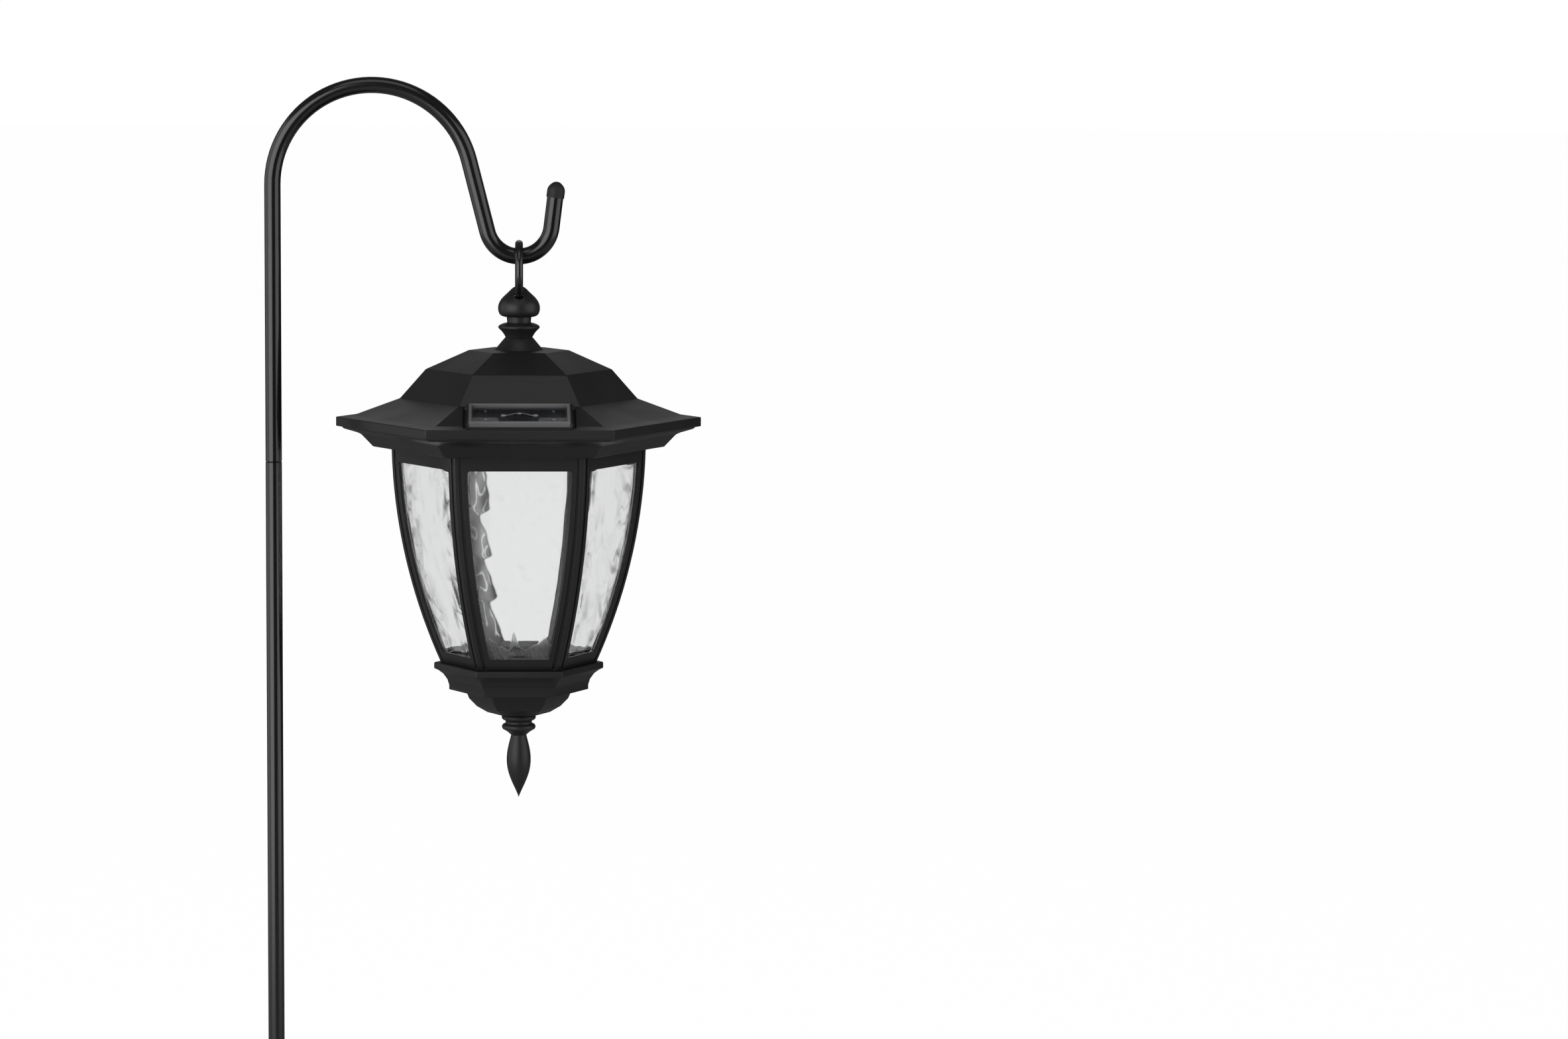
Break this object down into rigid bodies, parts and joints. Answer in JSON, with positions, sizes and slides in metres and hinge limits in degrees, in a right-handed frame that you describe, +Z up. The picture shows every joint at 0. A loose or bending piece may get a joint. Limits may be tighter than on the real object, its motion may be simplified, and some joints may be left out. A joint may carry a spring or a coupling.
{
  "type": "solar garden light",
  "caption": "Hexagonal black coach-lantern solar light with clear wavy panes, hanging by a ring from a thin steel shepherd hook with a ground stake.",
  "frame": {"origin": "on the pole axis at ground level, just under the step bar", "axes": "+Z up along the pole, +X from the pole towards the hanging lantern, the solar window faces -Y"},
  "size_m": [0.2484, 0.1362, 0.68],
  "materials": {
    "rod_paint": "satin black paint on steel tube, fine orange peel",
    "ring_paint": "satin black coated wire",
    "cap_rubber": "matt dipped black cap",
    "lantern_black": "fine-grained moulded black",
    "finial_black": "smooth satin moulded black",
    "pane_clear": "clear plastic with water-wave texture",
    "window_clear": "flat clear cover",
    "bezel_grain": "coarse-grained moulded black rim",
    "cell_dark": "dark silicon cell",
    "solder": "tinned solder",
    "gasket_foam": "closed-cell foam",
    "screw_steel": "zinc-plated",
    "nickel": "nickel-plated spring steel",
    "battery_sleeve": "printed shrink sleeve, no lettering",
    "board_green": "solder mask",
    "chip_black": "moulded packages",
    "led_clear": "clear epoxy",
    "lens_frosted": "frosted diffuser",
    "switch_black": "switch housing",
    "knob_grey": "moulded slider",
    "wire_red": "insulation",
    "wire_black": "insulation"
  },
  "bodies": {
    "pole": {"upper_pole": "rod_paint", "ground_pole": "rod_paint", "step_prong": "rod_paint"},
    "hook": {"hook_rod": "rod_paint", "hook_tip_cap": "cap_rubber"},
    "ring": {"hanging_ring": "ring_paint"},
    "lantern": {"eyelet_finial": "finial_black", "finial_nut": "screw_steel", "roof_shell": "lantern_black", "panel_frame": "bezel_grain", "solar_window": "window_clear", "solar_cell": "cell_dark", "cell_terminals": "solder", "cell_rivets": "solder", "eave_tray": "lantern_black", "roof_gasket": "gasket_foam", "tray_screws": "screw_steel", "battery": "battery_sleeve", "positive_contact": "nickel", "contact_spring": "nickel", "battery_cover": "lantern_black", "circuit_board": "board_green", "driver_parts": "chip_black", "board_screws": "screw_steel", "led": "led_clear", "led_lens": "lens_frosted", "switch_body": "switch_black", "solar_wire_red": "wire_red", "solar_wire_black": "wire_black", "battery_wire_red": "wire_red", "battery_wire_black": "wire_black"},
    "cage": {"cage_frame": "lantern_black", "pane_1": "pane_clear", "pane_2": "pane_clear", "pane_3": "pane_clear", "pane_4": "pane_clear", "pane_5": "pane_clear", "pane_6": "pane_clear", "base_moulding": "lantern_black", "base_screws": "screw_steel", "bottom_finial": "finial_black"},
    "knob": {"switch_knob": "knob_grey"}
  },
  "joints": [
    {"name": "hook_swivel", "type": "hinge", "parent": "pole", "child": "hook", "pos_m": [0, 0, 0.395], "axis": [0, 0, 1], "continuous": true},
    {"name": "ring_swing", "type": "hinge", "parent": "hook", "child": "ring", "pos_m": [0.10523, 0, 0.48356], "axis": [1, 0, 0], "range_deg": [-45, 45]},
    {"name": "lantern_swing", "type": "hinge", "parent": "ring", "child": "lantern", "pos_m": [0.10523, 0, 0.46588], "axis": [0, 1, 0], "range_deg": [-12, 12]},
    {"name": "cage_twist", "type": "hinge", "parent": "lantern", "child": "cage", "pos_m": [0.10523, 0, 0.3995], "axis": [0, 0, 1], "range_deg": [0, 20]},
    {"name": "switch_slide", "type": "slide", "parent": "lantern", "child": "knob", "axis": [1, 0, 0], "range_m": [0, 0.0025]}
  ]
}
